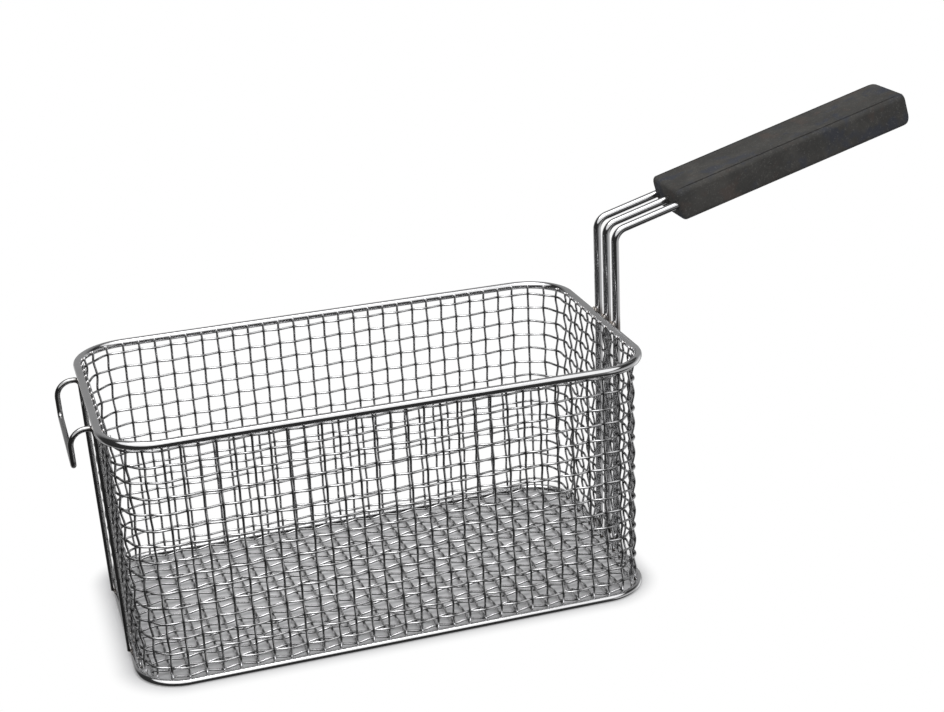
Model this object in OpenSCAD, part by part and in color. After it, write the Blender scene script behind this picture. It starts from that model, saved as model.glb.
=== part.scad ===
// Deep fryer basket: a rectangular wire mesh basket with a three-rod handle at one
// end and a rest hook at the other. Millimetres, +Z up, standing on its base ring.
// Origin: on the table, under the middle of the rim. +X points to the handle.

/* [Basket] */
// Length of the rim, between the centres of its wire at the two ends
rim_l = 290; // [220:1:380]
// Width of the rim, between the centres of its wire at the two long sides
rim_w = 156; // [130:1:220]
// Corner radius of the rim, to the centre of its wire
rim_r = 28; // [22:1:40]
// Height of the basket, from the table to the top of the rim wire
basket_h = 139; // [100:1:190]
// How far the hook end leans in from the rim down to the base ring
hook_end_lean = 4; // [3:0.5:8]
// How far the handle end leans in from the rim down to the base ring
handle_end_lean = 2; // [1:0.5:8]
// How far each long side leans in from the rim down to the base ring
side_lean = 0.25; // [0:0.25:4]
// Corner radius of the base ring, to the centre of its wire
base_r = 25; // [20:1:36]

/* [Wires] */
// Diameter of the rim wire
rim_d = 4.5; // [3.5:0.1:5.5]
// Diameter of the base ring wire
base_d = 3.5; // [3:0.1:4.5]
// Diameter of the mesh wires
mesh_d = 1.3; // [1:0.1:1.6]
// Spacing of the mesh hoops, one above the other
mesh_pitch = 8.8; // [7:0.1:12]
// Spacing of the mesh uprights, to the nearest whole number of gaps
upright_pitch = 9; // [7:0.1:12]
// Height of the rim's centre above the top mesh hoop
top_hoop_drop = 4.6; // [3.6:0.1:6]
// Gap left between round wires where they lie against each other
seat_gap = 0.1; // [0.05:0.05:0.2]

/* [Handle] */
// Diameter of the handle rods
rod_d = 4.4; // [3:0.1:4.6]
// Spacing of the handle rods across the basket
rod_pitch = 13.6; // [9:0.1:13.8]
// Height above the table at which the rods start to bend outwards
elbow_h = 185.9; // [170:0.1:240]
// Bend radius of the elbow, to the centre of the rod
elbow_r = 8; // [5:0.5:12]
// Rise of the grip above the level
grip_rise = 15.7; // [5:0.1:35]
// Length of bare rod between the elbow and the grip
rod_bare = 33; // [20:1:60]
// Depth that the rods reach into the grip
rod_in = 100; // [50:1:130]

/* [Grip] */
// Length of the grip
grip_l = 148; // [120:1:180]
// Width of the grip
grip_w = 37; // [35:1:44]
// Thickness of the grip
grip_t = 18.5; // [14:0.5:24]
// Radius of the grip's four long edges
grip_edge_r = 3; // [2:0.5:6]
// Radius of the grip's outer end, seen from above
grip_end_r = 7; // [6.5:0.5:12]
// Width of the lines in the grip's top
grip_line_w = 0.8; // [0.4:0.1:1.5]
// Depth of the lines in the grip's top
grip_line_t = 0.5; // [0.3:0.1:1]
// Clearance between a rod and its hole in the grip, all round
rod_clear = 0.1; // [0.05:0.05:0.3]

/* [Rest hook] */
// Diameter of the hook wire
hook_d = 3; // [2.4:0.1:3.6]
// Spacing of the hook's two legs across the basket
hook_w = 73; // [50:1:95]
// Height of the underside of the rim wire above the hook wire's level top
hook_top_drop = 0.4; // [0.2:0.1:2]
// Clear throat between the end of the basket's rim and the hook's outer drop
hook_throat = 10; // [9:0.5:20]
// Drop of the hook, from its level top to its cross bar, centre to centre
hook_drop = 20; // [16:0.5:40]
// Bend radius where the hook's legs turn outwards, to the centre of the wire
hook_in_r = 3.5; // [3:0.5:5]
// Bend radius where the hook turns down, to the centre of the wire
hook_out_r = 8.5; // [3:0.5:8.5]
// Corner radius between a drop and the cross bar, to the centre of the wire
hook_bar_r = 4; // [3:0.5:8]

/* [Hidden] */
$fn = 32;

// Levels of the two ring wires
base_z = base_d / 2;
rim_z = basket_h - rim_d / 2;

// The woven wall: centreline of its uprights, which lie against the inside of both rings
rim_inset = rim_d / 2 + seat_gap + mesh_d / 2;
base_inset = base_d / 2 + seat_gap + mesh_d / 2;
top_x0 = -rim_l / 2 + rim_inset;
top_x1 = rim_l / 2 - rim_inset;
top_y = rim_w / 2 - rim_inset;
top_r = rim_r - rim_inset;
low_x0 = -rim_l / 2 + hook_end_lean + base_inset;
low_x1 = rim_l / 2 - handle_end_lean - base_inset;
low_y = rim_w / 2 - side_lean - base_inset;
low_r = base_r - base_inset;

// Wires that cross lie this far apart, centre to centre
weave = mesh_d + seat_gap;

// Uprights on a long side, on an end and inside a corner
long_gaps = round((top_x1 - top_x0 - 2 * top_r) / upright_pitch);
end_gaps = round((top_y - top_r + low_y - low_r) / upright_pitch);
corner_gaps = max(2, round(PI * low_r / 2 / upright_pitch));
upright_low_z = base_z - base_d / 4;
upright_top_z = rim_z + rim_d / 4;

// The base panel, its middle high enough that the lowest wires clear the table
panel_z = weave + mesh_d / 2 + 0.55;
panel_end_gap = mesh_d / 2 + 0.15;
panel_top_z = panel_z + weave + mesh_d / 2;

// Hoops, counted from the rim down to just above the base panel
hoop_top_z = rim_z - top_hoop_drop;
hoop_low_z = panel_top_z + mesh_d;
hoop_n = floor((hoop_top_z - hoop_low_z) / mesh_pitch) + 1;

// The handle rods stand against the outside of the rim and of the base ring
rod_x = rim_l / 2 + rim_d / 2 + seat_gap + rod_d / 2;
rod_low_x = rim_l / 2 - handle_end_lean + base_d / 2 + seat_gap + rod_d / 2;
rod_low_z = base_z - base_d / 4;
rod_kink_z = rim_z - 6;
hole_d = rod_d + 2 * rod_clear;

// Where two lengths of wire join at an angle, one is thinner by this much all round and
// runs this far into the other
lap_step = 0.02;
lap = 0.2;

// The hook wire runs up the end wall, under the rim, out and down again
hook_z = rim_z - rim_d / 2 - hook_top_drop;
hook_reach = rim_d / 2 + seat_gap + hook_d / 2 + hook_in_r;
hook_in_x = fine(-rim_l / 2 - sqrt(pow(hook_reach, 2) - pow(rim_z - hook_z + hook_in_r, 2)));
hook_leg_x = hook_in_x + hook_in_r;
hook_arm = fine(hook_in_x + rim_l / 2 + rim_d / 2 + hook_throat + hook_d / 2 - hook_out_r);
hook_low_x = low_x0 - weave - mesh_d / 2 - seat_gap - hook_d / 2 - 0.2;
hook_low_z = base_z + base_d / 2 + seat_gap;
hook_lean = atan((hook_low_x - hook_leg_x) / (hook_z - hook_in_r - hook_low_z));

// Length to a hundredth of a millimetre, so that joined ends meet exactly
function fine(v) = round(100 * v) / 100;
function two_digits(k) = str(k < 10 ? "0" : "", k);
function hoop_name(k) = str("hoop_", two_digits(k));
function mix(a, b, t) = a + (b - a) * t;

// Share of the way up from the base ring to the rim
function rise(z) = (z - base_z) / (rim_z - base_z);

// Ends, half width and corner radius of the wall's centreline at height z
function wall_x0(z) = mix(low_x0, top_x0, rise(z));
function wall_x1(z) = mix(low_x1, top_x1, rise(z));
function wall_y(z) = mix(low_y, top_y, rise(z));
function wall_r(z) = mix(low_r, top_r, rise(z));

// Point on the wall at height z: share t along a long side, or along an end
function side_point(s, t, z) =
    [mix(wall_x0(z) + wall_r(z), wall_x1(z) - wall_r(z), t), s * wall_y(z), z];
function end_point(s, t, z) =
    [s > 0 ? wall_x1(z) : wall_x0(z), mix(-1, 1, t) * (wall_y(z) - wall_r(z)), z];

// Point on a corner of the wall at height z, turned by angle a from the end wall
function corner_point(sx, sy, a, z) =
    [(sx > 0 ? wall_x1(z) - wall_r(z) : wall_x0(z) + wall_r(z)) + sx * wall_r(z) * cos(a),
     sy * (wall_y(z) - wall_r(z) + wall_r(z) * sin(a)), z];

// How far a corner of radius r falls back from its straight edge, at distance off into it
function corner_cut(r, off) = off <= 0 ? 0 : r - sqrt(pow(r, 2) - pow(off, 2));

// Straight round wire from a to b
module straight_wire(a, b, d) {
    v = b - a;
    translate(a)
        rotate([0, acos(v[2] / norm(v)), atan2(v[1], v[0])])
            cylinder(d = d, h = norm(v));
}

// Bent round wire: an arc of radius r about the vertical axis, from angle a0 over turn,
// which is negative where it runs clockwise
module bent_wire(r, a0, turn, d) {
    rotate([0, 0, a0])
        rotate_extrude(angle = turn)
            translate([r, 0])
                circle(d = d);
}

// The same arc stood up in the XZ plane, its angles running from +X towards +Z
module bend_xz(centre, r, a0, turn, d) {
    translate(centre)
        rotate([90, 0, 0])
            bent_wire(r, a0, turn, d);
}

// The same arc stood up in the YZ plane, its angles running from +Y towards +Z
module bend_yz(centre, r, a0, turn, d) {
    translate(centre)
        rotate([90, 0, 90])
            bent_wire(r, a0, turn, d);
}

// Closed wire ring with round corners, level at height z, from end_0 to end_1 along X
module wire_ring(end_0, end_1, half_w, corner_r, d, z) {
    x0 = fine(end_0);
    x1 = fine(end_1);
    y = fine(half_w);
    r = fine(corner_r);
    translate([x0 + r, y - r, z]) bent_wire(r, 90, 90, d);
    translate([x0 + r, -y + r, z]) bent_wire(r, 180, 90, d);
    translate([x1 - r, -y + r, z]) bent_wire(r, 270, 90, d);
    translate([x1 - r, y - r, z]) bent_wire(r, 0, 90, d);
    for (s = [-1, 1]) {
        straight_wire([x0 + r, s * y, z], [x1 - r, s * y, z], d);
    }
    for (x = [x0, x1]) {
        straight_wire([x, -y + r, z], [x, y - r, z], d);
    }
}

// Heavy wire round the mouth of the basket
module rim_ring() {
    color("gainsboro")
        wire_ring(-rim_l / 2, rim_l / 2, rim_w / 2, rim_r, rim_d, rim_z);
}

// Wire round the bottom of the basket, on which it stands
module base_ring() {
    color("gainsboro")
        wire_ring(-rim_l / 2 + hook_end_lean, rim_l / 2 - handle_end_lean,
            rim_w / 2 - side_lean, base_r, base_d, base_z);
}

// One level wire of the mesh wall; odd ones pass outside the uprights, even ones inside
module hoop(k) {
    z = hoop_top_z - (k - 1) * mesh_pitch;
    out = k % 2 == 1 ? weave : -weave;
    color("silver")
        wire_ring(wall_x0(z) - out, wall_x1(z) + out, wall_y(z) + out, wall_r(z) + out,
            mesh_d, z);
}

// Upright wires of one long side, s = -1 at the front and 1 at the back
module side_uprights(s) {
    color("silver")
        for (i = [0 : long_gaps]) {
            straight_wire(side_point(s, i / long_gaps, upright_low_z),
                side_point(s, i / long_gaps, upright_top_z), mesh_d);
        }
}

// Upright wires of one end, s = -1 at the hook and 1 at the handle
module end_uprights(s) {
    color("silver")
        for (i = [0 : end_gaps]) {
            straight_wire(end_point(s, i / end_gaps, upright_low_z),
                end_point(s, i / end_gaps, upright_top_z), mesh_d);
        }
}

// Upright wires inside the two corners of one end
module corner_uprights(sx) {
    color("silver")
        for (sy = [-1, 1]) {
            for (i = [1 : corner_gaps - 1]) {
                a = 90 * i / corner_gaps;
                straight_wire(corner_point(sx, sy, a, upright_low_z),
                    corner_point(sx, sy, a, upright_top_z), mesh_d);
            }
        }
}

// Wires of the base panel that run across the basket, one in line with each upright of
// the long sides and more at the same spacing towards the ends
module base_cross_wires() {
    r = low_r - panel_end_gap;
    x_start = low_x0 + low_r;
    x_end = low_x1 - low_r;
    step = (x_end - x_start) / long_gaps;
    more = floor((r - mesh_d) / step);
    color("silver")
        for (i = [-more : long_gaps + more]) {
            x = x_start + i * step;
            off = max(x_start - x, x - x_end) > 0 ? max(x_start - x, x - x_end) + mesh_d / 2 : 0;
            half = low_y - panel_end_gap - corner_cut(r, off);
            straight_wire([x, -half, panel_z], [x, half, panel_z], mesh_d);
        }
}

// Wires of the base panel that run along the basket, passing over and under the others
module base_long_wires() {
    flat = low_y - low_r;
    r = low_r - panel_end_gap;
    step = 2 * flat / end_gaps;
    more = floor((r - mesh_d) / step);
    color("silver")
        for (i = [-more : end_gaps + more]) {
            y = -flat + i * step;
            z = panel_z + (i % 2 == 0 ? weave : -weave);
            off = abs(y) > flat ? abs(y) - flat + mesh_d / 2 : 0;
            inset = panel_end_gap + corner_cut(r, off);
            straight_wire([low_x0 + inset, y, z], [low_x1 - inset, y, z], mesh_d);
        }
}

// Places its children at the rods' elbow, turned so that +X runs along the grip
module at_elbow(y) {
    translate([rod_x + elbow_r, y, elbow_h])
        rotate([0, -grip_rise, 0])
            children();
}

// One handle rod, from the base ring past the rim, round the elbow and into the grip
module handle_rod(y) {
    foot = [rod_low_x, y, rod_low_z];
    kink = [rod_x, y, rod_kink_z];
    thin_d = rod_d - 2 * lap_step;
    color("gainsboro") {
        straight_wire(foot, kink + lap * (kink - foot) / norm(kink - foot), thin_d);
        straight_wire(kink, [rod_x, y, elbow_h], rod_d);
        bend_xz([rod_x + elbow_r, y, elbow_h], elbow_r, 180, grip_rise - 90, rod_d);
        at_elbow(y)
            straight_wire([-lap, 0, elbow_r], [rod_bare + rod_in, 0, elbow_r], thin_d);
    }
}

// Rectangle from x0 to x1 with half height h, its corners rounded by r0 and r1
module rounded_outline(x0, x1, h, r0, r1) {
    for (s = [-1, 1]) {
        translate([x0 + r0, s * (h - r0)]) circle(r = r0);
        translate([x1 - r1, s * (h - r1)]) circle(r = r1);
    }
    polygon([[x0 + r0, -h], [x1 - r1, -h], [x1, -h + r1], [x1, h - r1], [x1 - r1, h],
        [x0 + r0, h], [x0, h - r0], [x0, -h + r0]]);
}

// Moulded grip with a hole for each rod, built level and then set on the rods
module grip() {
    color([0.16, 0.16, 0.16])
        at_elbow(0)
            translate([rod_bare, 0, elbow_r])
                difference() {
                    intersection() {
                        rotate([90, 0, 90])
                            linear_extrude(grip_l)
                                rounded_outline(-grip_w / 2, grip_w / 2, grip_t / 2,
                                    grip_edge_r, grip_edge_r);
                        translate([0, 0, -grip_t])
                            linear_extrude(2 * grip_t)
                                rounded_outline(0, grip_l, grip_w / 2, grip_edge_r / 2,
                                    grip_end_r);
                    }
                    for (i = [-1, 0, 1]) {
                        translate([-1, i * rod_pitch, 0])
                            rotate([0, 90, 0])
                                cylinder(d = hole_d, h = rod_in + rod_clear + 1);
                    }
                    for (s = [-1, 1]) {
                        translate([-1, s * (grip_w / 2 - grip_edge_r) - grip_line_w / 2,
                            grip_t / 2 - grip_line_t])
                            cube([grip_l - grip_end_r + 1, grip_line_w, grip_t]);
                    }
                }
}

// Rest hook and its legs, one bent wire that leans with the end wall
module hook_wire() {
    leg_run = (hook_z - hook_in_r - hook_low_z) / cos(hook_lean);
    x = -hook_arm - hook_out_r;
    bar_z = hook_in_r - hook_drop;
    color("gainsboro")
        translate([hook_in_x, 0, hook_z - hook_in_r])
            rotate([0, -hook_lean, 0]) {
                for (s = [-1, 1]) {
                    y = s * hook_w / 2;
                    straight_wire([hook_in_r, y, -leg_run], [hook_in_r, y, 0], hook_d);
                    bend_xz([0, y, 0], hook_in_r, 0, 90, hook_d);
                    straight_wire([0, y, hook_in_r], [-hook_arm, y, hook_in_r], hook_d);
                    bend_xz([-hook_arm, y, hook_in_r - hook_out_r], hook_out_r, 90, 90, hook_d);
                    straight_wire([x, y, hook_in_r - hook_out_r], [x, y, bar_z + hook_bar_r],
                        hook_d);
                    bend_yz([x, y - s * hook_bar_r, bar_z + hook_bar_r], hook_bar_r,
                        s > 0 ? 270 : 180, 90, hook_d);
                }
                straight_wire([x, hook_bar_r - hook_w / 2, bar_z],
                    [x, hook_w / 2 - hook_bar_r, bar_z], hook_d);
            }
}

rim_ring();
base_ring();
side_uprights(-1);  // front_uprights
side_uprights(1);  // back_uprights
end_uprights(-1);  // hook_end_uprights
end_uprights(1);  // handle_end_uprights
corner_uprights(-1);  // hook_corner_uprights
corner_uprights(1);  // handle_corner_uprights
base_cross_wires();
base_long_wires();
handle_rod(-rod_pitch);  // handle_rod_front
handle_rod(0);  // handle_rod_middle
handle_rod(rod_pitch);  // handle_rod_back
grip();
hook_wire();
for (k = [1 : hoop_n]) {
    hoop(k);
}
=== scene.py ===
"""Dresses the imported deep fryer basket: woven mesh, ring wires, handle, grip and stage."""

import math

import bmesh
import bpy
import numpy as np
from bpy.props import FloatProperty, FloatVectorProperty, PointerProperty
from mathutils import Matrix, Vector


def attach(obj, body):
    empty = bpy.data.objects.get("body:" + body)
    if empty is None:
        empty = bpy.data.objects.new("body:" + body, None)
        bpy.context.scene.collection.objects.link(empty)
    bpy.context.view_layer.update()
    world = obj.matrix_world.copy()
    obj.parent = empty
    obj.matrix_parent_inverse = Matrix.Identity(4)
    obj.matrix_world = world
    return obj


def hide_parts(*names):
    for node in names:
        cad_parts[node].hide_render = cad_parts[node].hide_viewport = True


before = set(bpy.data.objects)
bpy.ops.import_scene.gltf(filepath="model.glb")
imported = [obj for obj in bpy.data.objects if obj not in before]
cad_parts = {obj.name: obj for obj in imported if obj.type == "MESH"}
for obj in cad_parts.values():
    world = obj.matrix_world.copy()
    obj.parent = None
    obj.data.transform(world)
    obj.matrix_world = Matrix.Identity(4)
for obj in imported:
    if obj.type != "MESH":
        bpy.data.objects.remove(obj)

bl_info = {
    "name": "Deep fryer basket",
    "version": (1, 0, 0),
    "blender": (4, 5, 0),
    "location": "View3D > Sidebar > Basket",
    "description": "Builds the looks of a wire mesh fryer basket on its packed frame",
    "category": "Object",
}

BODY = "root"
MM = 0.001

# Clearance that the CAD leaves between pieces that touch on the real basket
SEAT = 0.1 * MM
# How far the rods run into the grip, and how much deeper their holes are
ROD_IN_GRIP = 100 * MM
HOLE_SPARE = 0.5 * MM

# Gaps between uprights in each stretch of the wall
LONG_GAPS = 26
END_GAPS = 11
CORNER_GAPS = 4
WALL_GAPS = 2 * (LONG_GAPS + END_GAPS) + 4 * CORNER_GAPS
HOOPS = 15
# Wires that the base panel has beyond the straight part of each side
CROSS_MORE = 2
LONG_MORE = 2

# How finely the mesh wires are drawn
MESH_SIDES = 8
UPRIGHT_POINTS = 95
POINTS_PER_GAP = 6

# The camera that was fitted to the photograph, its focal length in pixels
PHOTO_WIDTH = 944
FOCAL_LENGTH = 1776.2833
CAMERA_ANGLES = (-16.555, 20.8003, -2.8218)
CAMERA_PLACE = (-0.1980802, -0.8939762, 0.4808426)

# How bright each part of the studio looks in the wire
DARK = 0.03
FLOOR_GLOW = 0.45
BACKDROP_GLOW = 0.26
SIDE_GLOW = 0.48
BOX_GLOW = 1.10
# How bright the studio is for all that isn't a mirror, and for the camera
PLAIN_LEVEL = 0.62
WHITE = 1.0


# Sizes and colours


def length(name, description, default):
    return FloatProperty(
        name=name, description=description, default=default, unit="LENGTH", precision=5
    )


def colour(name, description, default):
    return FloatVectorProperty(
        name=name, description=description, default=default, subtype="COLOR", size=3
    )


class BasketSizes(bpy.types.PropertyGroup):
    """Sizes of the basket, the same as in the CAD source"""

    rim_length: length("Rim length", "Between the wire's centres at the ends", 0.290)
    rim_width: length("Rim width", "Between the wire's centres at the sides", 0.156)
    rim_radius: length("Rim corner", "Corner radius of the rim wire", 0.028)
    rim_height: length("Rim height", "Height of the rim wire's centre", 0.13675)
    rim_wire: length("Rim wire", "Diameter of the rim wire", 0.0045)
    base_radius: length("Base corner", "Corner radius of the base ring", 0.025)
    base_wire: length("Base wire", "Diameter of the base ring wire", 0.0035)
    hook_end_lean: length("Hook end lean", "How far that end leans in", 0.004)
    handle_end_lean: length("Handle end lean", "How far that end leans in", 0.002)
    side_lean: length("Side lean", "How far each long side leans in", 0.00025)
    mesh_wire: length("Mesh wire", "Diameter of the mesh wires", 0.0013)
    mesh_pitch: length("Mesh pitch", "Spacing of the mesh wires", 0.0088)
    top_hoop_drop: length("Top hoop", "Rim's centre above the top hoop", 0.0046)
    rod: length("Rod", "Diameter of the handle rods", 0.0044)
    rod_pitch: length("Rod pitch", "Spacing of the handle rods", 0.0136)
    elbow_height: length("Elbow height", "Where the rods start to bend", 0.1859)
    elbow_radius: length("Elbow radius", "Bend radius of the rods", 0.008)
    grip_rise: FloatProperty(
        name="Grip rise",
        description="Rise of the grip above the level",
        default=math.radians(15.7),
        subtype="ANGLE",
    )
    rod_bare: length("Bare rod", "Rod between the elbow and the grip", 0.033)
    grip_length: length("Grip length", "Length of the grip", 0.148)
    grip_width: length("Grip width", "Width of the grip", 0.037)
    grip_thickness: length("Grip thickness", "Thickness of the grip", 0.0185)
    grip_edge: length("Grip edges", "Radius of the long edges", 0.003)
    grip_line_width: length("Grip line", "Width of the lines in the top", 0.0008)
    grip_line_depth: length("Grip line depth", "Depth of those lines", 0.0005)
    hook_wire: length("Hook wire", "Diameter of the hook wire", 0.003)
    hook_width: length("Hook width", "Spacing of the hook's legs", 0.073)
    hook_throat: length("Hook throat", "Clear space inside the hook", 0.010)
    hook_drop: length("Hook drop", "Level top to cross bar", 0.020)


class BasketColours(bpy.types.PropertyGroup):
    """Colours of the basket and its stage"""

    plating: colour("Plating", "Bright plated round wire", (0.80, 0.80, 0.81))
    rod_plating: colour("Rod plating", "Plated wire of the handle rods", (0.66, 0.66, 0.67))
    hook_plating: colour("Hook plating", "Duller plated wire of the hook", (0.42, 0.42, 0.42))
    mesh_plating: colour("Mesh plating", "Plated mesh wire", (0.74, 0.74, 0.75))
    # Painted shade: darkens the mesh wires where they cross, in place of the shade between them
    crossing_painted_shade: colour("Crossings", "Stain where mesh wires cross", (0.06, 0.06, 0.06))
    weld_metal: colour("Weld metal", "Clean metal of the welds", (0.42, 0.40, 0.38))
    weld_tint: colour("Weld tint", "Heat tint round the welds", (0.20, 0.17, 0.15))
    grip: colour("Grip", "Moulded plastic of the grip", (0.046, 0.045, 0.043))
    grip_pale: colour("Worn grip", "Where hands have dulled it", (0.076, 0.073, 0.068))
    # Painted shadow: the camera sees this grey only under the basket
    floor: colour("Floor", "Pale grey studio floor", (0.63, 0.63, 0.64))


def sizes():
    return bpy.context.scene.basket_sizes


def colours():
    return bpy.context.scene.basket_colours


# Shader maths


class Field:
    """A shader socket that takes part in Python arithmetic on plain values."""

    def __init__(self, finish, socket):
        self.finish = finish
        self.socket = socket

    def math(self, operation, *values):
        return self.finish.node(
            "ShaderNodeMath", {"operation": operation}, dict(enumerate(values))
        )

    def __add__(self, other):
        return self.math("ADD", self, other)

    def __radd__(self, other):
        return self.math("ADD", other, self)

    def __sub__(self, other):
        return self.math("SUBTRACT", self, other)

    def __rsub__(self, other):
        return self.math("SUBTRACT", other, self)

    def __mul__(self, other):
        return self.math("MULTIPLY", self, other)

    def __rmul__(self, other):
        return self.math("MULTIPLY", other, self)

    def root(self):
        return self.math("SQRT", self)

    def size(self):
        return self.math("ABSOLUTE", self)

    def larger(self, other):
        return self.math("MAXIMUM", self, other)

    def between(self, low, high):
        """0 below low, 1 above high and smooth between them."""
        return self.finish.node(
            "ShaderNodeMapRange",
            {"interpolation_type": "SMOOTHSTEP"},
            {"Value": self, "From Min": low, "From Max": high},
        )

    def near(self, value, reach):
        """1 at value, falling smoothly to 0 at reach from it."""
        return 1 - (self - value).size().between(0, reach)


class Finish:
    """One node tree, with a single way to add a node to it."""

    def __init__(self, tree):
        self.tree = tree
        tree.nodes.clear()

    def node(self, kind, settings=None, inputs=None, output=0):
        made = self.tree.nodes.new(kind)
        for name, value in (settings or {}).items():
            setattr(made, name, value)
        for name, value in (inputs or {}).items():
            if isinstance(value, Field):
                self.tree.links.new(value.socket, made.inputs[name])
            else:
                made.inputs[name].default_value = value
        return Field(self, made.outputs[output]) if made.outputs else None

    def noise(self, place, scale, detail=2.0, roughness=0.6, distortion=0.0):
        """Noise over place, with about scale waves to the metre."""
        return self.node(
            "ShaderNodeTexNoise",
            {},
            {
                "Vector": place,
                "Scale": scale,
                "Detail": detail,
                "Roughness": roughness,
                "Distortion": distortion,
            },
        )

    def blend(self, share, first, second):
        """Colour that goes from first to second as share goes from 0 to 1."""
        made = self.tree.nodes.new("ShaderNodeMix")
        made.data_type = "RGBA"
        for index, value in ((0, share), (6, first), (7, second)):
            if isinstance(value, Field):
                self.tree.links.new(value.socket, made.inputs[index])
            elif index == 0:
                made.inputs[index].default_value = value
            else:
                made.inputs[index].default_value = (*value, 1.0)
        return Field(self, made.outputs[2])

    def place(self):
        return self.node("ShaderNodeTexCoord", output="Object")

    def axis(self, place, name):
        return self.node("ShaderNodeSeparateXYZ", {}, {0: place}, output=name)

    def along(self, place, direction):
        """How far place lies along direction."""
        return self.node(
            "ShaderNodeVectorMath",
            {"operation": "DOT_PRODUCT"},
            {0: place, 1: direction},
            output="Value",
        )

    def bump(self, height, strength, distance):
        return self.node(
            "ShaderNodeBump", {}, {"Height": height, "Strength": strength, "Distance": distance}
        )


def new_material(name, build):
    material = bpy.data.materials.new(name)
    material.use_nodes = True
    finish = Finish(material.node_tree)
    surface = build(finish)
    finish.node("ShaderNodeOutputMaterial", {}, {"Surface": surface})
    return material


def plated_wire(name, plating, gloss, ripple, heat=None, woven=False):
    """Bright plated wire: faint ripples, dull patches, heat tint at welds, painted shade at
    crossings.

    gloss is the roughness of clean plating, and heat a function that gives the mask of the tint.
    """

    def build(f):
        place = f.place()
        patches = f.noise(place, 42.0, detail=3.0)
        specks = f.noise(place, 600.0)
        dull = tuple(0.80 * c for c in plating)
        shade = f.blend(patches.between(0.35, 0.75) * 0.5, tuple(plating), dull)
        rough = gloss + patches.between(0.4, 0.8) * 0.07 + specks.between(0.62, 0.75) * 0.10
        if heat is not None:
            tint = heat(f, place)
            shade = f.blend(tint, shade, tuple(colours().weld_tint))
            rough = rough + tint * 0.25
        if woven:
            # Painted shade where two mesh wires cross, darkening the colour there
            knot = f.node("ShaderNodeAttribute", {"attribute_name": "crossing"}, output="Fac")
            shade = f.blend(knot * 0.9, shade, tuple(colours().crossing_painted_shade))
            rough = rough + knot * 0.12
        waves = f.noise(place, 160.0, roughness=0.5)
        relief = f.bump(waves, strength=ripple, distance=0.6 * MM)
        return f.node(
            "ShaderNodeBsdfPrincipled",
            {},
            {
                "Base Color": shade,
                "Metallic": 1.0,
                "Roughness": rough,
                "Normal": relief,
            },
        )

    return new_material(name, build)


def weld_metal(name):
    """Weld metal: duller and darker than the plating, with a fine frozen ripple."""

    def build(f):
        place = f.place()
        stain = f.noise(place, 260.0, detail=3.0)
        shade = f.blend(
            stain.between(0.35, 0.65), tuple(colours().weld_metal), tuple(colours().weld_tint)
        )
        ridges = f.bump(f.noise(place, 1400.0), strength=0.5, distance=0.3 * MM)
        return f.node(
            "ShaderNodeBsdfPrincipled",
            {},
            {
                "Base Color": shade,
                "Metallic": 1.0,
                "Roughness": 0.30 + stain * 0.25,
                "Normal": ridges,
            },
        )

    return new_material(name, build)


def grip_groove_painted_shade(f, place):
    """Mask of the painted shade in the two lines along the top of the grip, broken up by noise."""
    s = sizes()
    _, centre, along, square = elbow_frame()
    top = float(centre @ square) + s.elbow_radius + s.grip_thickness / 2
    line = s.grip_width / 2 - s.grip_edge
    on_line = f.axis(place, "Y").size().near(line, 1.1 * MM)
    near_top = f.along(place, tuple(square)).between(top - 1.6 * MM, top - 0.8 * MM)
    run = f.along(place, tuple(along)) - float(centre @ along) - s.rod_bare
    started = run.between(2 * MM, 5 * MM)
    ended = run.between(s.grip_length - 10 * MM, s.grip_length)
    broken = 0.55 + f.noise(place, 420.0).between(0.35, 0.6) * 0.45
    return on_line * near_top * started * (1 - ended) * broken


def moulded_plastic(name):
    """Black moulded plastic: fine spark-eroded grain, dulled where a hand holds it."""
    bluish = (0.034, 0.040, 0.058)
    brownish = (0.080, 0.060, 0.052)
    pale_dust = (0.14, 0.135, 0.13)
    # Painted shade colour for the grooves of the top lines
    groove_shade = (0.010, 0.009, 0.009)

    def build(f):
        place = f.place()
        wear = f.noise(place, 34.0, detail=4.0, distortion=0.4)
        cloud = f.noise(place, 150.0, detail=3.0)
        grain = f.noise(place, 1900.0, roughness=0.55)
        dust = f.noise(place, 900.0, detail=3.0, roughness=0.7)
        cool = f.noise(place, 75.0, distortion=0.3)
        worn = wear.between(0.38, 0.68) * 0.55 + cloud.between(0.45, 0.7) * 0.35
        shade = f.blend(worn, tuple(colours().grip), tuple(colours().grip_pale))
        shade = f.blend(cool.between(0.52, 0.68) * 0.55, shade, bluish)
        shade = f.blend((1 - cool).between(0.56, 0.70) * 0.45, shade, brownish)
        shade = f.blend(dust.between(0.54, 0.72) * 0.42, shade, pale_dust)
        # Painted shade in the grooves of the two top lines
        shade = f.blend(grip_groove_painted_shade(f, place) * 0.95, shade, groove_shade)
        rough = 0.72 + wear.between(0.35, 0.7) * 0.10 + grain * 0.06
        return f.node(
            "ShaderNodeBsdfPrincipled",
            {},
            {
                "Base Color": shade,
                "Roughness": rough,
                "Specular IOR Level": 0.16,
                "Normal": f.bump(grain, strength=0.35, distance=0.12 * MM),
            },
        )

    return new_material(name, build)


# Wires


def unit(v):
    return v / np.linalg.norm(v, axis=-1, keepdims=True)


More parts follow.
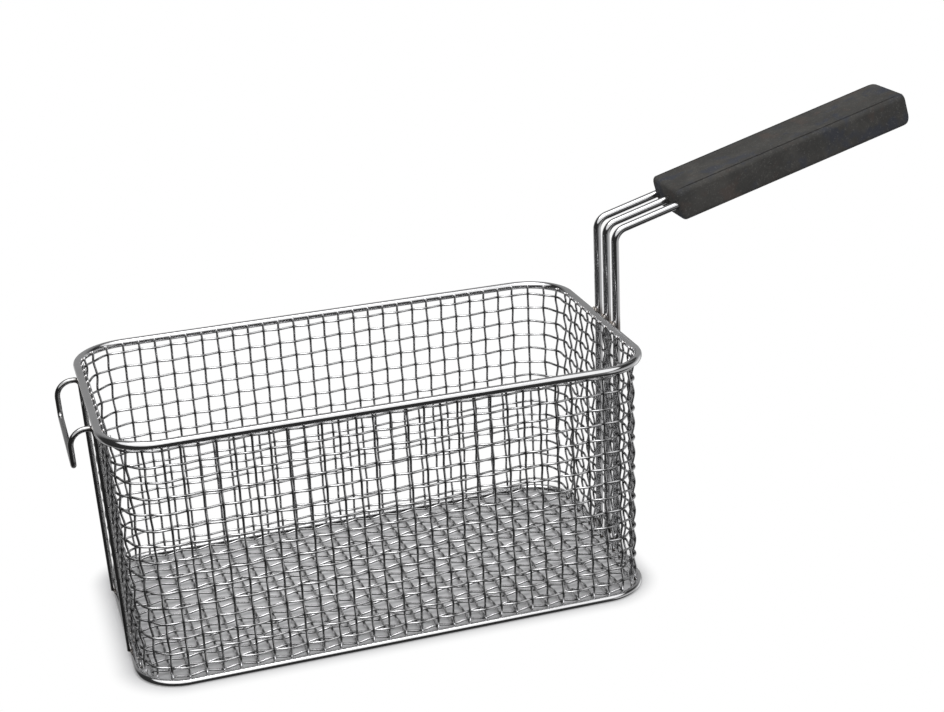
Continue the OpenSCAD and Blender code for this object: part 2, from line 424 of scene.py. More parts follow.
class Bundle:
    """Round wires and weld beads gathered into one mesh."""

    def __init__(self):
        self.points = []
        self.knots = []
        self.faces = []
        self.count = 0

    def add(self, points, faces, knots=0.0):
        self.points.append(points)
        self.knots.append(np.broadcast_to(knots, (len(points),)))
        self.faces.extend([[i + self.count for i in face] for face in faces])
        self.count += len(points)

    def wire(self, path, radius, sides, hint=None, closed=False, ends=0.35, knots=0.0):
        """A round wire along path. hint is a vector that never lies along the path.

        ends is how far the end points stand out, in radii, and knots says for each point of the
        path how near it lies to a crossing, from 0 to 1.
        """
        path = np.asarray(path, float)
        if closed:
            run = np.roll(path, -1, 0) - np.roll(path, 1, 0)
        else:
            run = np.gradient(path, axis=0)
        run = unit(run)
        if hint is None:
            side = self.carried_side(run)
        else:
            side = unit(np.cross(np.broadcast_to(hint, run.shape), run))
        up = np.cross(run, side)
        turn = np.linspace(0, 2 * np.pi, sides, endpoint=False)
        rings = path[:, None, :] + radius * (
            np.cos(turn)[None, :, None] * side[:, None, :]
            + np.sin(turn)[None, :, None] * up[:, None, :]
        )
        points = rings.reshape(-1, 3)
        count = len(path)
        knots = np.repeat(np.broadcast_to(knots, (count,)), sides)
        faces = []
        for i in range(count if closed else count - 1):
            a, b = i * sides, ((i + 1) % count) * sides
            for j in range(sides):
                k = (j + 1) % sides
                faces.append([a + j, a + k, b + k, b + j])
        if not closed:
            first = path[0] - run[0] * radius * ends
            last = path[-1] + run[-1] * radius * ends
            points = np.vstack([points, first, last])
            knots = np.append(knots, (0.0, 0.0))
            base = (count - 1) * sides
            for j in range(sides):
                k = (j + 1) % sides
                faces.append([k, j, count * sides])
                faces.append([base + j, base + k, count * sides + 1])
        self.add(points, faces, knots)

    @staticmethod
    def carried_side(run):
        """A direction across the path, carried along it with no twist."""
        start = np.cross(run[0], (0.0, 1.0, 0.0))
        if np.linalg.norm(start) < 0.1:
            start = np.cross(run[0], (1.0, 0.0, 0.0))
        sides = [start / np.linalg.norm(start)]
        for before, after in zip(run[:-1], run[1:]):
            axis = np.cross(before, after)
            bend = np.linalg.norm(axis)
            last = sides[-1]
            if bend > 1e-9:
                turn = Matrix.Rotation(math.atan2(bend, before @ after), 3, Vector(axis / bend))
                last = np.array(turn @ Vector(last))
            sides.append(unit(last - after * (last @ after)))
        return np.array(sides)

    def bead(self, centre, radii, axes=None, rings=5, sides=8):
        """A rounded weld bead with the given half sizes along its axes."""
        axes = np.eye(3) if axes is None else np.asarray(axes, float)
        points = [[0, 0, 1.0]]
        for i in range(1, rings):
            polar = math.pi * i / rings
            for j in range(sides):
                turn = 2 * math.pi * j / sides
                points.append(
                    [
                        math.sin(polar) * math.cos(turn),
                        math.sin(polar) * math.sin(turn),
                        math.cos(polar),
                    ]
                )
        points.append([0, 0, -1.0])
        faces = []
        for j in range(sides):
            k = (j + 1) % sides
            faces.append([0, 1 + j, 1 + k])
            for i in range(rings - 2):
                a, b = 1 + i * sides, 1 + (i + 1) * sides
                faces.append([a + j, b + j, b + k, a + k])
            low = 1 + (rings - 2) * sides
            faces.append([low + k, low + j, len(points) - 1])
        local = np.array(points) * np.asarray(radii, float)
        self.add(np.asarray(centre, float) + local @ axes, faces)

    def mesh(self, name):
        """The bundle's mesh, with its crossings as an attribute where it has any."""
        mesh = bpy.data.meshes.new(name)
        mesh.from_pydata(np.vstack(self.points).tolist(), [], self.faces)
        knots = np.concatenate(self.knots)
        if knots.any():
            mesh.attributes.new("crossing", "FLOAT", "POINT").data.foreach_set("value", knots)
        return mesh

    def make(self, name, material, slot, nodes=()):
        mesh = self.mesh(name)
        mesh.shade_smooth()
        return place_piece(name, mesh, material, nodes)


def place_piece(name, mesh, material, nodes=()):
    piece = bpy.data.objects.new(name, mesh)
    bpy.context.scene.collection.objects.link(piece)
    mesh.materials.append(material)
    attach(piece, BODY)
    if nodes:
        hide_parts(*nodes)
    return piece


def arc(centre, radius, start, turn, steps, along=(1, 0, 0), across=(0, 0, 1)):
    """Points on an arc, its angle running from along towards across, in degrees."""
    angle = np.radians(start + turn * np.linspace(0, 1, steps + 1))
    return (
        np.asarray(centre, float)
        + radius * np.cos(angle)[:, None] * np.asarray(along, float)
        + radius * np.sin(angle)[:, None] * np.asarray(across, float)
    )


def straight(a, b, spacing):
    """Points from a towards b at about that spacing, without b itself."""
    a, b = np.asarray(a, float), np.asarray(b, float)
    steps = max(1, int(round(np.linalg.norm(b - a) / spacing)))
    return a + (b - a) * np.linspace(0, 1, steps, endpoint=False)[:, None]


def ring_path(x0, x1, half, corner, z, steps=18, spacing=0.012):
    """A closed loop with round corners, level at z."""
    parts = []
    for cx, cy, start in (
        (x0 + corner, -half + corner, 180),
        (x1 - corner, -half + corner, 270),
        (x1 - corner, half - corner, 0),
        (x0 + corner, half - corner, 90),
    ):
        parts.append(arc((cx, cy, z), corner, start, 90, steps, across=(0, 1, 0)))
    loop = []
    for i, part in enumerate(parts):
        loop.append(part[:-1])
        loop.append(straight(part[-1], parts[(i + 1) % 4][0], spacing))
    return np.vstack(loop)


class Wall:
    """Where the middle of the woven wall runs, as worked out in the CAD source."""

    def __init__(self):
        s = sizes()
        rim = s.rim_wire / 2 + SEAT + s.mesh_wire / 2
        base = s.base_wire / 2 + SEAT + s.mesh_wire / 2
        self.base_z = s.base_wire / 2
        self.rim_z = s.rim_height
        self.top = (
            -s.rim_length / 2 + rim,
            s.rim_length / 2 - rim,
            s.rim_width / 2 - rim,
            s.rim_radius - rim,
        )
        self.low = (
            -s.rim_length / 2 + s.hook_end_lean + base,
            s.rim_length / 2 - s.handle_end_lean - base,
            s.rim_width / 2 - s.side_lean - base,
            s.base_radius - base,
        )
        self.hoop_z = s.rim_height - s.top_hoop_drop
        self.pitch = s.mesh_pitch
        # Half the height of the weave, at which two crossing wires just clear each other
        self.swing = s.mesh_wire / 2 + 0.01 * MM
        # Height of the middle of the base panel
        self.panel_z = 2.6 * MM

    def lines(self, z):
        """The wall's ends, half width and corner radius at height z."""
        share = (z - self.base_z) / (self.rim_z - self.base_z)
        return [a + (b - a) * share for a, b in zip(self.low, self.top)]

    def point(self, u, z):
        """Place and outward direction at height z, u gaps round from the front's hook end."""
        x0, x1, y, r = self.lines(z)
        u = np.mod(u, WALL_GAPS)
        edges = np.cumsum([0] + 2 * [LONG_GAPS, CORNER_GAPS, END_GAPS, CORNER_GAPS])
        px, py, nx, ny = (np.zeros_like(u + z) for _ in range(4))
        for i in range(8):
            here = (u >= edges[i]) & (u < edges[i + 1])
            t = (u - edges[i]) / (edges[i + 1] - edges[i])
            if i == 0:
                values = (x0 + r + (x1 - x0 - 2 * r) * t, -y, 0, -1)
            elif i == 2:
                values = (x1, (y - r) * (2 * t - 1), 1, 0)
            elif i == 4:
                values = (x1 - r - (x1 - x0 - 2 * r) * t, y, 0, 1)
            elif i == 6:
                values = (x0, (y - r) * (1 - 2 * t), -1, 0)
            else:
                start = {1: -90, 3: 0, 5: 90, 7: 180}[i]
                angle = np.radians(start + 90 * t)
                cx = x1 - r if i in (1, 3) else x0 + r
                cy = -y + r if i in (1, 7) else y - r
                values = (
                    cx + r * np.cos(angle),
                    cy + r * np.sin(angle),
                    np.cos(angle),
                    np.sin(angle),
                )
            for target, value in zip((px, py, nx, ny), values):
                target[here] = np.broadcast_to(value, target.shape)[here]
        return px, py, nx, ny


def smooth(t):
    t = np.clip(t, 0, 1)
    return t * t * (3 - 2 * t)


def crossing(turns):
    """1 at each whole turn, where two wires cross, falling to 0 half way between."""
    return (0.5 + 0.5 * np.cos(2 * np.pi * turns)) ** 2


def drift(rng, t, size):
    """A slow wander, as hand-guided wire has, that is nothing at either end."""
    phases = rng.uniform(0, 2 * np.pi, 3)
    sway = sum(np.sin((k + 1) * 2.3 * t + p) / (k + 1) for k, p in enumerate(phases))
    return size * sway * np.sin(np.pi * t)


# Operators


class BASKET_OT_ring_wires(bpy.types.Operator):
    """Rim wire and base ring as smooth round wire"""

    bl_idname = "basket.ring_wires"
    bl_label = "Ring wires"

    def execute(self, context):
        s = sizes()
        bright = plated_wire("bright_plated_wire", colours().plating, gloss=0.09, ripple=0.03)
        rim = ring_path(
            -s.rim_length / 2, s.rim_length / 2, s.rim_width / 2, s.rim_radius, s.rim_height
        )
        base = ring_path(
            -s.rim_length / 2 + s.hook_end_lean,
            s.rim_length / 2 - s.handle_end_lean,
            s.rim_width / 2 - s.side_lean,
            s.base_radius,
            s.base_wire / 2,
        )
        for name, node, path, wire, sides in (
            ("rim_wire", "rim_ring", rim, s.rim_wire, 28),
            ("base_ring_wire", "base_ring", base, s.base_wire, 24),
        ):
            ring = Bundle()
            ring.wire(path, wire / 2, sides, hint=(0, 0, 1), closed=True)
            ring.make(name, bright, "frame_wire", [node])
        return {"FINISHED"}


class BASKET_OT_woven_walls(bpy.types.Operator):
    """Crimped uprights and hoops that pass over and under each other round the wall"""

    bl_idname = "basket.woven_walls"
    bl_label = "Woven walls"

    def execute(self, context):
        s = sizes()
        wall = Wall()
        rng = np.random.default_rng(17)
        radius = s.mesh_wire / 2
        plating = plated_wire(
            "plated_mesh_wire", colours().mesh_plating, gloss=0.17, ripple=0.12, woven=True
        )
        low = wall.base_z - s.base_wire / 4
        high = wall.rim_z + s.rim_wire / 4
        z = np.linspace(low, high, UPRIGHT_POINTS)
        last_z = wall.hoop_z - (HOOPS - 1) * wall.pitch
        # 0 where an upright lies straight on a ring, 1 where it runs through the weave
        woven = smooth((wall.rim_z - z) / (wall.rim_z - wall.hoop_z)) * smooth(
            (z - wall.base_z) / (last_z - wall.base_z)
        )
        # The hoop at that height, counted from the top one as 1
        number = (wall.hoop_z - z) / wall.pitch + 1
        in_weave = (number > 0.5) & (number < HOOPS + 0.5)
        share = (z - low) / (high - low)
        wander_in_gaps = 0.022
        press_on_ring = 0.08 * MM
        uprights = {"side": Bundle(), "end": Bundle()}
        back = LONG_GAPS + 2 * CORNER_GAPS + END_GAPS
        for i in range(WALL_GAPS):
            u = i + drift(rng, share, wander_in_gaps)
            x, y, nx, ny = wall.point(u, z)
            out = wall.swing * np.cos(np.pi * (i + number)) * woven
            out = out + press_on_ring * (1 - woven)
            path = np.stack([x + nx * out, y + ny * out, z], -1)
            hint = np.stack([nx, ny, 0 * nx], -1)
            long_side = i <= LONG_GAPS or back <= i <= back + LONG_GAPS
            uprights["side" if long_side else "end"].wire(
                path, radius, MESH_SIDES, hint, knots=crossing(number) * in_weave
            )
        uprights["side"].make(
            "side_uprights_woven", plating, "mesh_wire", ["front_uprights", "back_uprights"]
        )
        uprights["end"].make(
            "end_uprights_woven",
            plating,
            "mesh_wire",
            [
                "hook_end_uprights",
                "handle_end_uprights",
                "hook_corner_uprights",
                "handle_corner_uprights",
            ],
        )
        hoops = Bundle()
        u = np.arange(WALL_GAPS * POINTS_PER_GAP) / POINTS_PER_GAP
        hoop_wander = 0.28 * MM
        for k in range(1, HOOPS + 1):
            level = wall.hoop_z - (k - 1) * wall.pitch
            phases = rng.uniform(0, 2 * np.pi, 3)
            wave = sum(
                np.sin(2 * np.pi * (n + 2) * u / WALL_GAPS + p) / (n + 2)
                for n, p in enumerate(phases)
            )
            height = level + hoop_wander * wave
            x, y, nx, ny = wall.point(u, level + 0 * u)
            out = -wall.swing * np.cos(np.pi * (u + k))
            path = np.stack([x + nx * out, y + ny * out, height], -1)
            hoops.wire(path, radius, MESH_SIDES, hint=(0, 0, 1), closed=True, knots=crossing(u))
        hoops.make(
            "hoops_woven",
            plating,
            "mesh_wire",
            [f"hoop_{k:02d}" for k in range(1, HOOPS + 1)],
        )
        return {"FINISHED"}


class BASKET_OT_woven_base(bpy.types.Operator):
    """Crimped wires of the base panel, along and across the basket"""

    bl_idname = "basket.woven_base"
    bl_label = "Woven base"

    def execute(self, context):
        s = sizes()
        wall = Wall()
        x0, x1, y1, r = wall.low
        radius = s.mesh_wire / 2
        gap = radius + 0.15 * MM
        inner = r - gap
        start, stop, flat = x0 + r, x1 - r, y1 - r
        step_x = (stop - start) / LONG_GAPS
        step_y = 2 * flat / END_GAPS
        rng = np.random.default_rng(29)
        swing = wall.swing

        def cut(off):
            """What the round corner takes off a wire that lies off its start by that much."""
            return 0 if off <= 0 else inner - math.sqrt(inner**2 - off**2)

        panel = bpy.data.materials["plated_mesh_wire"]
        cross_wander, long_wander = 0.2 * MM, 0.25 * MM
        cross = Bundle()
        for i in range(-CROSS_MORE, LONG_GAPS + CROSS_MORE + 1):
            x = start + i * step_x
            beyond = max(start - x, x - stop)
            half = y1 - gap - cut(beyond + radius if beyond > 0 else 0)
            y = np.linspace(-half, half, int(2 * half / step_y * POINTS_PER_GAP) + 1)
            share = (y + half) / (2 * half)
            turns = (y + flat) / step_y
            bend = swing * np.cos(np.pi * (i + turns))
            path = np.stack([x + drift(rng, share, cross_wander), y, wall.panel_z + bend], -1)
            cross.wire(path, radius, MESH_SIDES, hint=(1, 0, 0), knots=crossing(turns))
        cross.make("base_cross_woven", panel, "mesh_wire", ["base_cross_wires"])
        along = Bundle()
        for j in range(-LONG_MORE, END_GAPS + LONG_MORE + 1):
            y = -flat + j * step_y
            beyond = abs(y) - flat
            inset = gap + cut(beyond + radius if beyond > 1e-6 else 0)
            x = np.linspace(x0 + inset, x1 - inset, int((x1 - x0) / step_x * POINTS_PER_GAP) + 1)
            share = (x - x[0]) / (x[-1] - x[0])
            turns = (x - start) / step_x
            bend = swing * np.cos(np.pi * (j + turns))
            path = np.stack([x, y + drift(rng, share, long_wander), wall.panel_z - bend], -1)
            along.wire(path, radius, MESH_SIDES, hint=(0, 1, 0), knots=crossing(turns))
        along.make("base_long_woven", panel, "mesh_wire", ["base_long_wires"])
        return {"FINISHED"}


def elbow_frame():
    """The upright rods' X, the middle of their elbow, and along and square to the grip."""
    s = sizes()
    rod_x = s.rim_length / 2 + s.rim_wire / 2 + SEAT + s.rod / 2
    centre = np.array([rod_x + s.elbow_radius, 0, s.elbow_height])
    rise = s.grip_rise
    along = np.array([math.cos(rise), 0, math.sin(rise)])
    square = np.array([-math.sin(rise), 0, math.cos(rise)])
    return rod_x, centre, along, square


class BASKET_OT_handle_rods(bpy.types.Operator):
    """Three bent rods from the base ring past the rim and into the grip"""

    bl_idname = "basket.handle_rods"
    bl_label = "Handle rods"

    def execute(self, context):
        s = sizes()
        rod_x, centre, along, square = elbow_frame()
        low_x = s.rim_length / 2 - s.handle_end_lean + s.base_wire / 2 + SEAT + s.rod / 2
        # The rods lean in from here down to the base ring
        kink_z = s.rim_height - 6 * MM
        rise = math.degrees(s.grip_rise)

        def heat(f, place):
            level = f.axis(place, "Z") + f.noise(place, 260.0, detail=3.0) * (6 * MM)
            at_rim = level.near(s.rim_height + 2 * MM, 8 * MM)
            at_base = level.near(s.base_wire / 2 + 3 * MM, 6 * MM)
            return (at_rim + at_base) * 0.75

        material = plated_wire(
            "bright_plated_rod", colours().rod_plating, gloss=0.09, ripple=0.01, heat=heat
        )
        for name, row in (("front", -1), ("middle", 0), ("back", 1)):
            y = row * s.rod_pitch
            foot = (low_x, y, s.base_wire / 4)
            kink = (rod_x, y, kink_z)
            middle = centre + (0, y, 0)
            bend_end = middle + square * s.elbow_radius
            tip = bend_end + along * (s.rod_bare + ROD_IN_GRIP)
            path = np.vstack(
                [
                    straight(foot, kink, 10 * MM),
                    straight(kink, (rod_x, y, s.elbow_height), 6 * MM),
                    arc(middle, s.elbow_radius, start=180, turn=rise - 90, steps=16)[:-1],
                    straight(bend_end, tip, 6 * MM),
                    [tip],
                ]
            )
            rod = Bundle()
            rod.wire(path, s.rod / 2, sides=24, hint=(0, 1, 0))
            rod.make(f"rod_{name}", material, "frame_wire", [f"handle_rod_{name}"])
        return {"FINISHED"}


def hook_points():
    """Path of the hook wire, from one foot to the other."""
    s = sizes()
    wall = Wall()
    # Bends at the rim, at the outer end of the arms and at the cross bar
    in_r, out_r, bar_r = 3.5 * MM, 8.5 * MM, 4 * MM
    # Height of the arms, and how far the bends beside the rim lie from its wire's middle
    top = s.rim_height - s.rim_wire / 2 - 0.4 * MM
    reach = s.rim_wire / 2 + SEAT + s.hook_wire / 2 + in_r
    drop = s.rim_height - top + in_r
    in_x = -s.rim_length / 2 - math.sqrt(reach**2 - drop**2)
    arm = (
        in_x + s.rim_length / 2 + s.rim_wire / 2 + s.hook_throat + s.hook_wire / 2 - out_r
    )
    # The feet stand on the base ring, clear of the weave
    weave = 1.5 * s.mesh_wire + 2 * SEAT
    low_x = wall.low[0] - weave - s.hook_wire / 2 - 0.2 * MM
    low_z = s.base_wire + SEAT
    lean = math.atan((low_x - in_x - in_r) / (top - in_r - low_z))
    run = (top - in_r - low_z) / math.cos(lean)
    half = s.hook_width / 2
    x = -arm - out_r
    bar_z = in_r - s.hook_drop
    side = np.vstack(
        [
            straight((in_r, half, -run), (in_r, half, 0), 8 * MM),
            arc((0, half, 0), in_r, start=0, turn=90, steps=10)[:-1],
            straight((0, half, in_r), (-arm, half, in_r), 3 * MM),
            arc((-arm, half, in_r - out_r), out_r, start=90, turn=90, steps=12)[:-1],
            straight((x, half, in_r - out_r), (x, half, bar_z + bar_r), 3 * MM),
            arc(
                (x, half - bar_r, bar_z + bar_r), bar_r, start=0, turn=-90, steps=10, along=(0, 1, 0)
            )[:-1],
        ]
    )
    bar = straight((x, half - bar_r, bar_z), (x, -half + bar_r, bar_z), 6 * MM)
    far = (side * (1, -1, 1))[::-1]
    local = np.vstack([side, bar, [(x, -half + bar_r, bar_z)], far])
    cosine, sine = math.cos(lean), math.sin(lean)
    turned = np.stack(
        [
            local[:, 0] * cosine - local[:, 2] * sine,
            local[:, 1],
            local[:, 0] * sine + local[:, 2] * cosine,
        ],
        -1,
    )
    return turned + (in_x, 0, top - in_r)


class BASKET_OT_rest_hook(bpy.types.Operator):
    """The bent wire of the rest hook and its legs"""

    bl_idname = "basket.rest_hook"
    bl_label = "Rest hook"

    def execute(self, context):
        s = sizes()

        def heat(f, place):
            level = f.axis(place, "Z")
            past_rim = f.axis(place, "X") + s.rim_length / 2
            by_rim = past_rim.between(-6 * MM, -2 * MM)
            at_rim = level.near(s.rim_height - 4 * MM, 7 * MM) * by_rim
            at_base = level.near(s.base_wire, 6 * MM)
            return (at_rim + at_base) * 0.6

        material = plated_wire(
            "bright_plated_hook", colours().hook_plating, gloss=0.10, ripple=0.03, heat=heat
        )
        hook = Bundle()
        hook.wire(hook_points(), s.hook_wire / 2, sides=20)
        hook.make("rest_hook_wire", material, "frame_wire", ["hook_wire"])
        return {"FINISHED"}


class BASKET_OT_welds(bpy.types.Operator):
    """Spot welds of the mesh, and beads where rods and hook meet the rings"""

    bl_idname = "basket.welds"
    bl_label = "Welds"

    def execute(self, context):
        s = sizes()
        wall = Wall()
        rng = np.random.default_rng(41)
        material = weld_metal("weld_metal")
        spots = Bundle()
        for i in range(WALL_GAPS):
            for z in (wall.rim_z, wall.base_z):
                x, y, nx, ny = (
                    float(v[0]) for v in wall.point(np.array([float(i)]), np.array([z]))
                )
                size = 0.75 * MM * rng.uniform(0.85, 1.15)
                # Where the upright's outer side meets the ring
                out = s.mesh_wire / 2 - 0.1 * MM
                axes = [[nx, ny, 0], [-ny, nx, 0], [0, 0, 1]]
                spots.bead(
                    (x + nx * out, y + ny * out, z + rng.uniform(-0.2, 0.2) * MM),
                    (0.75 * size, size, 1.25 * size),
                    axes,
                )
        spots.make("mesh_spot_welds", material, "mesh_wire")
        rod_x = elbow_frame()[0]
        foot_x = s.rim_length / 2 - s.handle_end_lean + s.base_wire / 2
        hook_foot_x = -s.rim_length / 2 + s.hook_end_lean - 1.1 * MM
        under_rim = s.rim_height - s.rim_wire / 2 - 0.5 * MM
        # Middle of each bead, and its half sizes in millimetres
        places = []
        for row in (-1, 0, 1):
            y = row * s.rod_pitch
            for side in (-1, 1):
                at_rim = (rod_x - s.rod / 2 - 0.2 * MM, y + side * 1.5 * MM, s.rim_height + 0.7 * MM)
                at_base = (foot_x, y + side * 1.2 * MM, s.base_wire / 2 + 0.4 * MM)
                places += [(at_rim, (1.2, 1.1, 2.0)), (at_base, (0.9, 0.9, 1.3))]
        for y in (-s.hook_width / 2, s.hook_width / 2):
            at_rim = (-s.rim_length / 2 - 1.4 * MM, y, under_rim)
            at_base = (hook_foot_x, y, s.base_wire + 0.2 * MM)
            places += [(at_rim, (1.6, 1.9, 1.0)), (at_base, (1.4, 1.7, 0.8))]
        beads = Bundle()
        for middle, half_sizes in places:
            beads.bead(middle, np.multiply(half_sizes, MM), rings=8, sides=12)
        beads.make("rod_and_hook_welds", material, "frame_wire")
        return {"FINISHED"}


def grip_outline(width, thick, corner, line_depth, line_width):
    """Half the grip's section, from the middle of the top round to the middle below."""
    w, t = width / 2, thick / 2
    y_line = w - corner
    half_line = line_width / 2
    points = [(0.0, t)]
    for share in (0.25, 0.5, 0.75, 0.92):
        points.append(((y_line - half_line) * share, t))
    points += [
        (y_line - half_line * 1.35, t),
        (y_line - half_line, t - 0.18 * line_depth),
        (y_line - half_line * 0.55, t - line_depth),
        (y_line + half_line * 0.45, t - line_depth),
        (y_line + half_line * 0.8, t - 0.22 * line_depth),
    ]
    steps = 10
    for k in range(2, steps + 1):
        a = math.radians(90 - 90 * k / steps)
        points.append((y_line + corner * math.cos(a), t - corner + corner * math.sin(a)))
    for share in (0.33, 0.67):
        points.append((w, (t - corner) * (1 - 2 * share)))
    for k in range(0, steps + 1):
        a = math.radians(-90 * k / steps)
        points.append((y_line + corner * math.cos(a), -t + corner + corner * math.sin(a)))
    for share in (0.75, 0.5, 0.25):
        points.append((y_line * share, -t))
    points.append((0.0, -t))
    return np.array(points)


def drawn_in(radius, depth):
    """How far an end rounded to that radius draws in, at that depth from its face."""
    if depth >= radius:
        return 0.0
    return radius - math.sqrt(max(0.0, radius**2 - (radius - depth) ** 2))


class BASKET_OT_grip(bpy.types.Operator):
    """The moulded grip, with its two long lines, rounded outer end and rod holes"""

    bl_idname = "basket.grip"
    bl_label = "Grip"

    def execute(self, context):
        s = sizes()
        # Roundings of the end at the rods, and of the outer end seen from above and from the side
        near_r, end_plan_r, end_edge_r = 2.5 * MM, 7 * MM, 4.5 * MM
        # The lines end that far short of the outer end, and fade out on the way there
        line_stop, line_fade = 8 * MM, 3 * MM
        stations = [near_r * (1 - math.cos(math.radians(15 * k))) for k in range(7)]
        stations += list(np.linspace(6 * MM, s.grip_length - 12 * MM, 20))
        for k in range(13):
            stations.append(s.grip_length - end_plan_r * (1 - math.sin(math.radians(7.5 * k))))
        stations = sorted(set(round(v, 6) for v in stations))
        _, centre, along, square = elbow_frame()
        origin = centre + square * s.elbow_radius + along * s.rod_bare
        body = bmesh.new()
        rings = []
        for v in stations:
            rest = s.grip_length - v
            half = grip_outline(
                s.grip_width - 2 * max(drawn_in(near_r, v), drawn_in(end_plan_r, rest)),
                s.grip_thickness - 2 * max(drawn_in(near_r, v), drawn_in(end_edge_r, rest)),
                s.grip_edge,
                s.grip_line_depth * float(smooth((rest - line_stop) / line_fade)),
                s.grip_line_width,
            )
            full = np.vstack([half, (half * (-1, 1))[::-1][1:-1]])
            rings.append(
                [
                    body.verts.new(origin + along * v + np.array([0, a, 0]) + square * b)
                    for a, b in full
                ]
            )
        count = len(rings[0])
        for first, second in zip(rings[:-1], rings[1:]):
            for j in range(count):
                k = (j + 1) % count
                body.faces.new((first[j], second[j], second[k], first[k]))
        body.faces.new(rings[0])
        body.faces.new(rings[-1][::-1])
        bmesh.ops.recalc_face_normals(body, faces=body.faces)
        uncut = bpy.data.meshes.new("moulded_grip")
        body.to_mesh(uncut)
        body.free()
        grip = place_piece("moulded_grip", uncut, moulded_plastic("moulded_black"), ["grip"])
        cutter = Bundle()
        for row in (-1, 0, 1):
            mouth = origin + (0, row * s.rod_pitch, 0)
            cutter.wire(
                [mouth - along * (10 * MM), mouth + along * (ROD_IN_GRIP + HOLE_SPARE)],
                s.rod / 2 + SEAT,
                sides=24,
                hint=(0, 1, 0),
                ends=0.0,
            )
        bores = bpy.data.objects.new("bores", cutter.mesh("bores"))
        context.scene.collection.objects.link(bores)
        cut = grip.modifiers.new("bores", "BOOLEAN")
        cut.operation = "DIFFERENCE"
        cut.solver = "EXACT"
        cut.object = bores
        context.view_layer.update()
        depsgraph = context.evaluated_depsgraph_get()
        bored = bpy.data.meshes.new_from_object(grip.evaluated_get(depsgraph))
        if len(bored.polygons) <= len(uncut.polygons):
            raise RuntimeError("the grip's rod holes were not cut")
        grip.modifiers.clear()
        grip.data = bored
        bpy.data.objects.remove(bores)
        bored.shade_smooth()
        bored.set_sharp_from_angle(angle=math.radians(50))
        return {"FINISHED"}


def photo_camera(context):
    """Puts the camera at the photograph's place. Returns the way it looks from, as a vector."""
    azimuth, elevation, roll = (math.radians(a) for a in CAMERA_ANGLES)
    back = Vector(
        (
            math.sin(azimuth) * math.cos(elevation),
            -math.cos(azimuth) * math.cos(elevation),
            math.sin(elevation),
        )
    )
    right = Vector((math.cos(azimuth), math.sin(azimuth), 0))
    up = back.cross(right)
    turned = math.cos(roll) * right + math.sin(roll) * up
    raised = -math.sin(roll) * right + math.cos(roll) * up
    data = bpy.data.cameras.new("photo_camera")
    data.sensor_fit = "HORIZONTAL"
    data.sensor_width = 36.0
    data.lens = FOCAL_LENGTH / PHOTO_WIDTH * data.sensor_width
    data.clip_start, data.clip_end = 0.01, 20
    camera = bpy.data.objects.new("photo_camera", data)
    context.scene.collection.objects.link(camera)
    axes = Matrix((turned, raised, back)).transposed().to_4x4()
    axes.translation = Vector(CAMERA_PLACE)
    camera.matrix_world = axes
    context.scene.camera = camera
    return back


def softbox(context, name, place, aim, size, power):
    data = bpy.data.lights.new(name, "AREA")
    data.shape = "RECTANGLE"
    data.size, data.size_y = size
    data.energy = power
    lamp = bpy.data.objects.new(name, data)
    context.scene.collection.objects.link(lamp)
    lamp.location = place
    lamp.rotation_mode = "QUATERNION"
    lamp.rotation_quaternion = (Vector(aim) - Vector(place)).to_track_quat("-Z", "Y")


def floor_with_painted_shadow(f):
    """Painted shadow: the camera sees the grey floor under the basket and plain white beside it."""
    s = sizes()
    place = f.place()
    corner = s.rim_radius
    past_end = (f.axis(place, "X").size() - (s.rim_length / 2 - corner)).larger(0.0)
    past_side = (f.axis(place, "Y").size() - (s.rim_width / 2 - corner)).larger(0.0)
    past_rim = (past_end * past_end + past_side * past_side).root() - corner
    # Painted shadow: grey under the rim's footprint, fading to the camera's white just past it
    beside = past_rim.between(-6 * MM, 12 * MM)
    grey = f.node("ShaderNodeBsdfDiffuse", {}, {"Color": (*colours().floor, 1.0)})
    white = f.node("ShaderNodeEmission", {}, {"Strength": WHITE})
    camera_ray = f.node("ShaderNodeLightPath", output="Is Camera Ray")
    return f.node("ShaderNodeMixShader", {}, {0: camera_ray * beside, 1: grey, 2: white})


def mirrored_studio(f, way, back):
    """What the wire mirrors: a box overhead, a lit floor, a backdrop and a panel at the side."""
    away = Vector((-back.x, -back.y, 0)).normalized()
    tilt = math.radians(59)
    overhead = Vector((0, 0, math.sin(tilt))) - away * math.cos(tilt)
    # Every mask below goes from 0 to 1 over a band of directions
    height = f.axis(way, "Z")
    beyond = f.along(way, tuple(away))
    right = f.along(way, (away.y, -away.x, 0.0))
    box = f.along(way, tuple(overhead)).between(0.58, 0.68)
    above_level = height.between(-0.25, -0.05)
    black_flag = f.along(way, tuple(-back)).between(0.90, 0.97)
    lit_floor = beyond.between(0.2, 0.6) * (1 - above_level) * (1 - black_flag)
    backdrop = beyond.between(0.3, 0.8) * above_level
    side_height = height.between(-0.60, -0.42) * (1 - height.between(0.0, 0.35))
    side_panel = right.between(0.54, 0.74) * side_height
    glow = DARK + lit_floor * FLOOR_GLOW + backdrop * BACKDROP_GLOW
    return glow + side_panel * SIDE_GLOW + box * BOX_GLOW


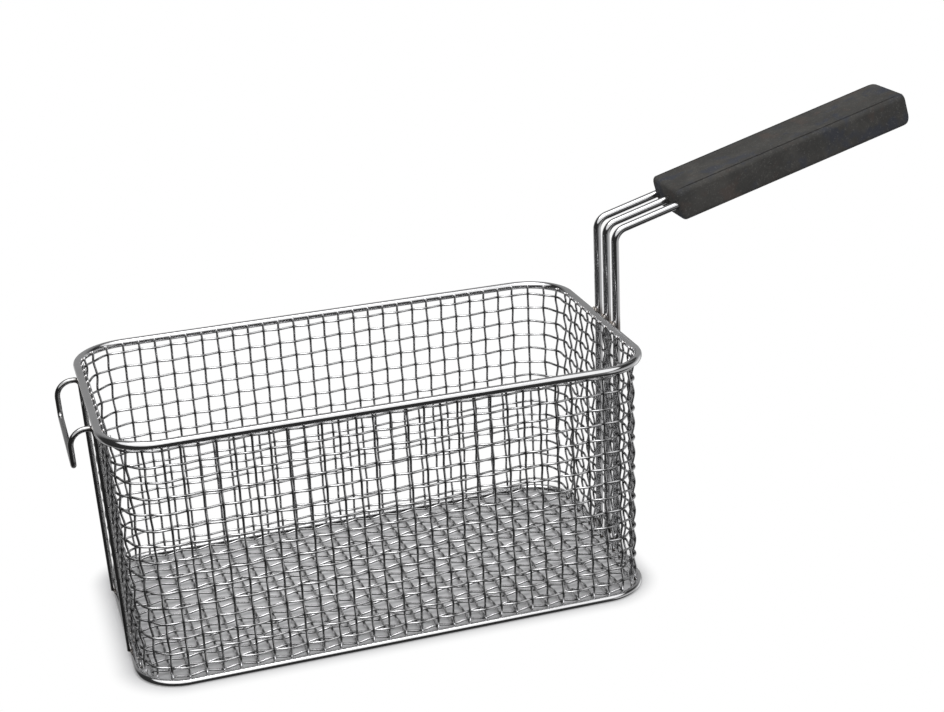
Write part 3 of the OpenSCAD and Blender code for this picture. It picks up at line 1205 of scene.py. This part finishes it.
class BASKET_OT_stage(bpy.types.Operator):
    """Floor with a painted grey shadow under the basket and white beside it, soft studio light and
    the camera
    """

    bl_idname = "basket.stage"
    bl_label = "Stage"

    def execute(self, context):
        scene = context.scene
        scene.view_settings.view_transform = "Standard"
        back = photo_camera(context)

        ground = bpy.data.meshes.new("studio_floor")
        body = bmesh.new()
        bmesh.ops.create_grid(body, x_segments=8, y_segments=8, size=4.0)
        body.to_mesh(ground)
        body.free()
        ground.materials.append(new_material("pale_floor", floor_with_painted_shadow))
        plane = bpy.data.objects.new("studio_floor", ground)
        scene.collection.objects.link(plane)
        plane.visible_glossy = False

        world = bpy.data.worlds.new("studio")
        scene.world = world
        world.use_nodes = True
        f = Finish(world.node_tree)
        way = f.node("ShaderNodeTexCoord", output="Generated")
        camera_ray = f.node("ShaderNodeLightPath", output="Is Camera Ray")
        glossy_ray = f.node("ShaderNodeLightPath", output="Is Glossy Ray")
        level = PLAIN_LEVEL + (mirrored_studio(f, way, back) - PLAIN_LEVEL) * glossy_ray
        level = level + (WHITE - level) * camera_ray
        tone = f.node("ShaderNodeCombineColor", {}, {0: level, 1: level, 2: level})
        shader = f.node("ShaderNodeBackground", {}, {"Color": tone, "Strength": 1.0})
        f.node("ShaderNodeOutputWorld", {}, {"Surface": shader})

        softbox(
            context,
            "overhead_softbox",
            place=(-0.25, -0.35, 1.45),
            aim=(0.05, 0, 0.08),
            size=(1.3, 1.0),
            power=13,
        )
        return {"FINISHED"}


class BASKET_PT_pieces(bpy.types.Panel):
    """Lists the pieces of the basket and its sizes"""

    bl_idname = "BASKET_PT_pieces"
    bl_label = "Fryer basket"
    bl_space_type = "VIEW_3D"
    bl_region_type = "UI"
    bl_category = "Basket"

    def draw(self, context):
        column = self.layout.column(align=True)
        for operator in STEPS:
            column.operator(operator.bl_idname)
        for group in (context.scene.basket_sizes, context.scene.basket_colours):
            column.separator()
            for name in group.__annotations__:
                column.prop(group, name)


STEPS = (
    BASKET_OT_ring_wires,
    BASKET_OT_woven_walls,
    BASKET_OT_woven_base,
    BASKET_OT_handle_rods,
    BASKET_OT_rest_hook,
    BASKET_OT_welds,
    BASKET_OT_grip,
    BASKET_OT_stage,
)
CLASSES = (BasketSizes, BasketColours, *STEPS, BASKET_PT_pieces)


def register():
    for cls in CLASSES:
        bpy.utils.register_class(cls)
    bpy.types.Scene.basket_sizes = PointerProperty(type=BasketSizes)
    bpy.types.Scene.basket_colours = PointerProperty(type=BasketColours)


def unregister():
    del bpy.types.Scene.basket_colours
    del bpy.types.Scene.basket_sizes
    for cls in reversed(CLASSES):
        bpy.utils.unregister_class(cls)


def main():
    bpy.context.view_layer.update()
    register()
    bpy.ops.basket.ring_wires()
    bpy.ops.basket.woven_walls()
    bpy.ops.basket.woven_base()
    bpy.ops.basket.handle_rods()
    bpy.ops.basket.rest_hook()
    bpy.ops.basket.welds()
    bpy.ops.basket.grip()
    bpy.ops.basket.stage()
    bpy.context.view_layer.update()


if __name__ == "__main__":
    main()
